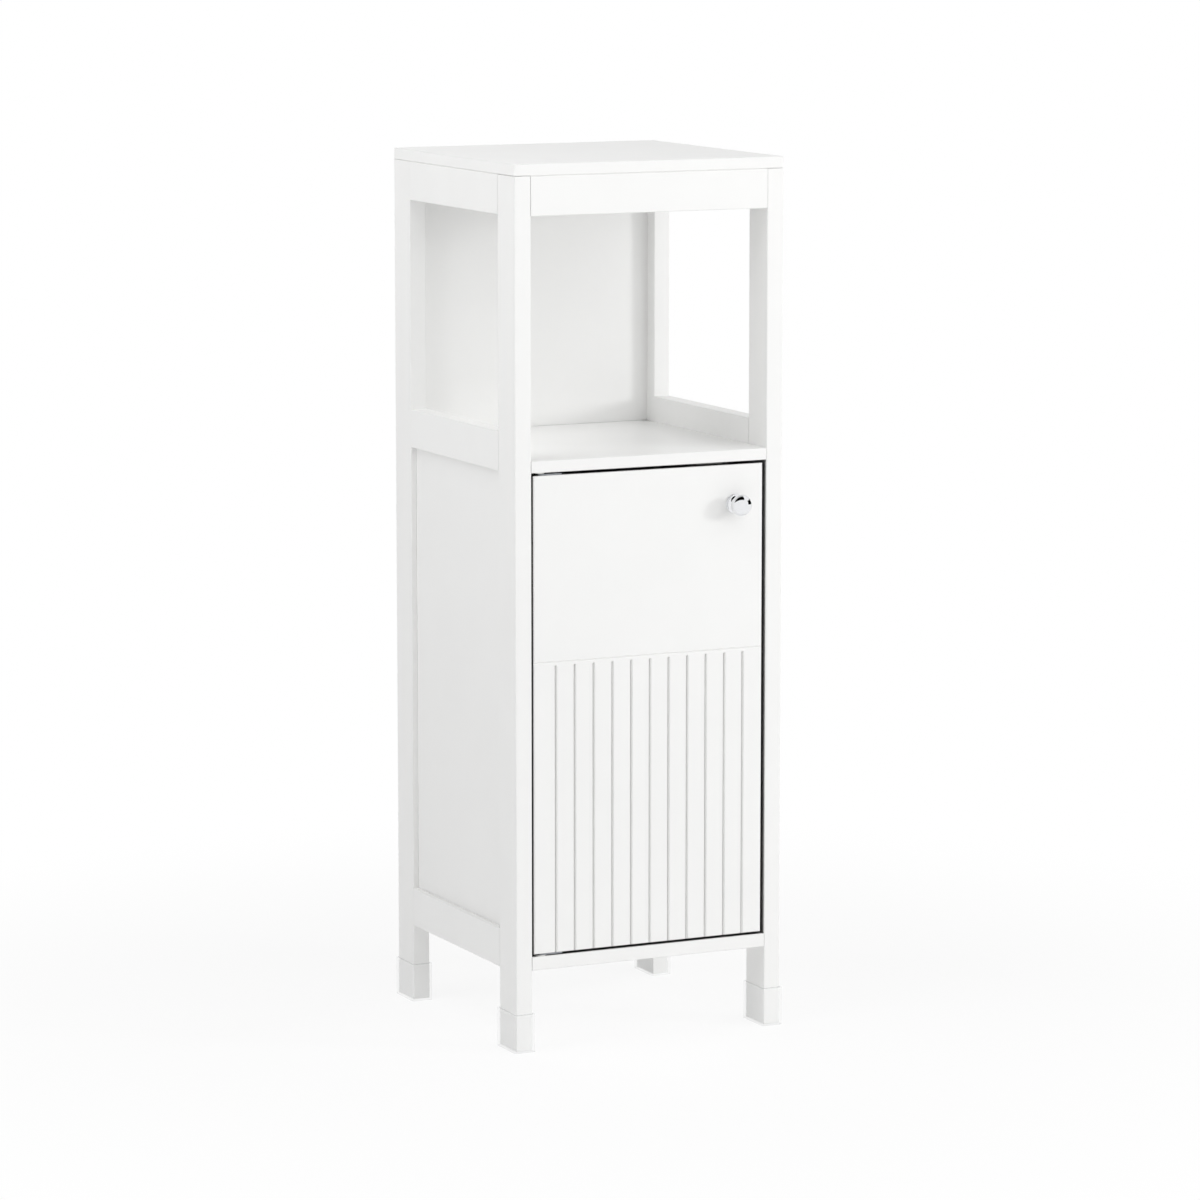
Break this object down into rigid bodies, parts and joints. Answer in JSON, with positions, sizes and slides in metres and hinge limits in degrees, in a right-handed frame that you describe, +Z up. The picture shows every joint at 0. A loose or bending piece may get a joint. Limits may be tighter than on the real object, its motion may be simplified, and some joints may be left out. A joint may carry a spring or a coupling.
{
  "type": "narrow bathroom cabinet",
  "caption": "Narrow free-standing bathroom cabinet: square posts, open upper shelf, inset fluted door on pivot hinges with a round knob, clear foot caps.",
  "frame": {"origin": "on the floor, in the middle of the whole outline, knob and foot caps included", "axes": "+X to the viewer's right facing the door, +Y from the door to the back panel, +Z up"},
  "size_m": [0.3052, 0.3256, 0.9],
  "materials": {
    "white_lacquer": "satin white lacquer on fibreboard",
    "white_panel": "satin white lacquer on thin fibreboard",
    "clear_plastic": "clear moulded plastic",
    "chrome": "polished chrome plate",
    "zinc_steel": "bright zinc plate",
    "white_plastic": "moulded white plastic",
    "ferrite": "pressed ferrite",
    "beech": "plain fluted beech"
  },
  "bodies": {
    "cabinet": {"top_panel": "white_lacquer", "post_front_left": "white_lacquer", "post_front_right": "white_lacquer", "post_rear_left": "white_lacquer", "post_rear_right": "white_lacquer", "top_rail_left": "white_lacquer", "top_rail_right": "white_lacquer", "top_rail_front": "white_lacquer", "mid_rail_left": "white_lacquer", "mid_rail_right": "white_lacquer", "lower_rail_left": "white_lacquer", "lower_rail_right": "white_lacquer", "open_shelf": "white_lacquer", "bottom_panel": "white_lacquer", "inner_shelf": "white_lacquer", "side_panel_left": "white_panel", "side_panel_right": "white_panel", "back_panel": "white_panel", "foot_cap_front_left": "clear_plastic", "foot_cap_front_right": "clear_plastic", "foot_cap_rear_left": "clear_plastic", "foot_cap_rear_right": "clear_plastic", "cam_bolts": "zinc_steel", "cam_nuts_boards": "zinc_steel", "cam_nuts_rails": "zinc_steel", "shelf_pins": "zinc_steel", "catch_poles": "zinc_steel", "catch_screws": "zinc_steel", "hinge_bush_top": "white_plastic", "hinge_bush_bottom": "white_plastic", "catch_case": "white_plastic", "catch_magnet": "ferrite", "dowels": "beech"},
    "door": {"door_panel": "white_lacquer", "hinge_leaf_top": "zinc_steel", "hinge_leaf_bottom": "zinc_steel", "hinge_pin_top": "zinc_steel", "hinge_pin_bottom": "zinc_steel", "hinge_screws": "zinc_steel", "knob": "chrome", "knob_screw": "zinc_steel", "strike_plate": "zinc_steel", "strike_screw": "zinc_steel"}
  },
  "joints": [
    {"name": "door_hinge", "type": "hinge", "parent": "cabinet", "child": "door", "pos_m": [-0.1208, -0.1333, 0.3445], "axis": [0, 0, -1], "range_deg": [0, 110]}
  ]
}
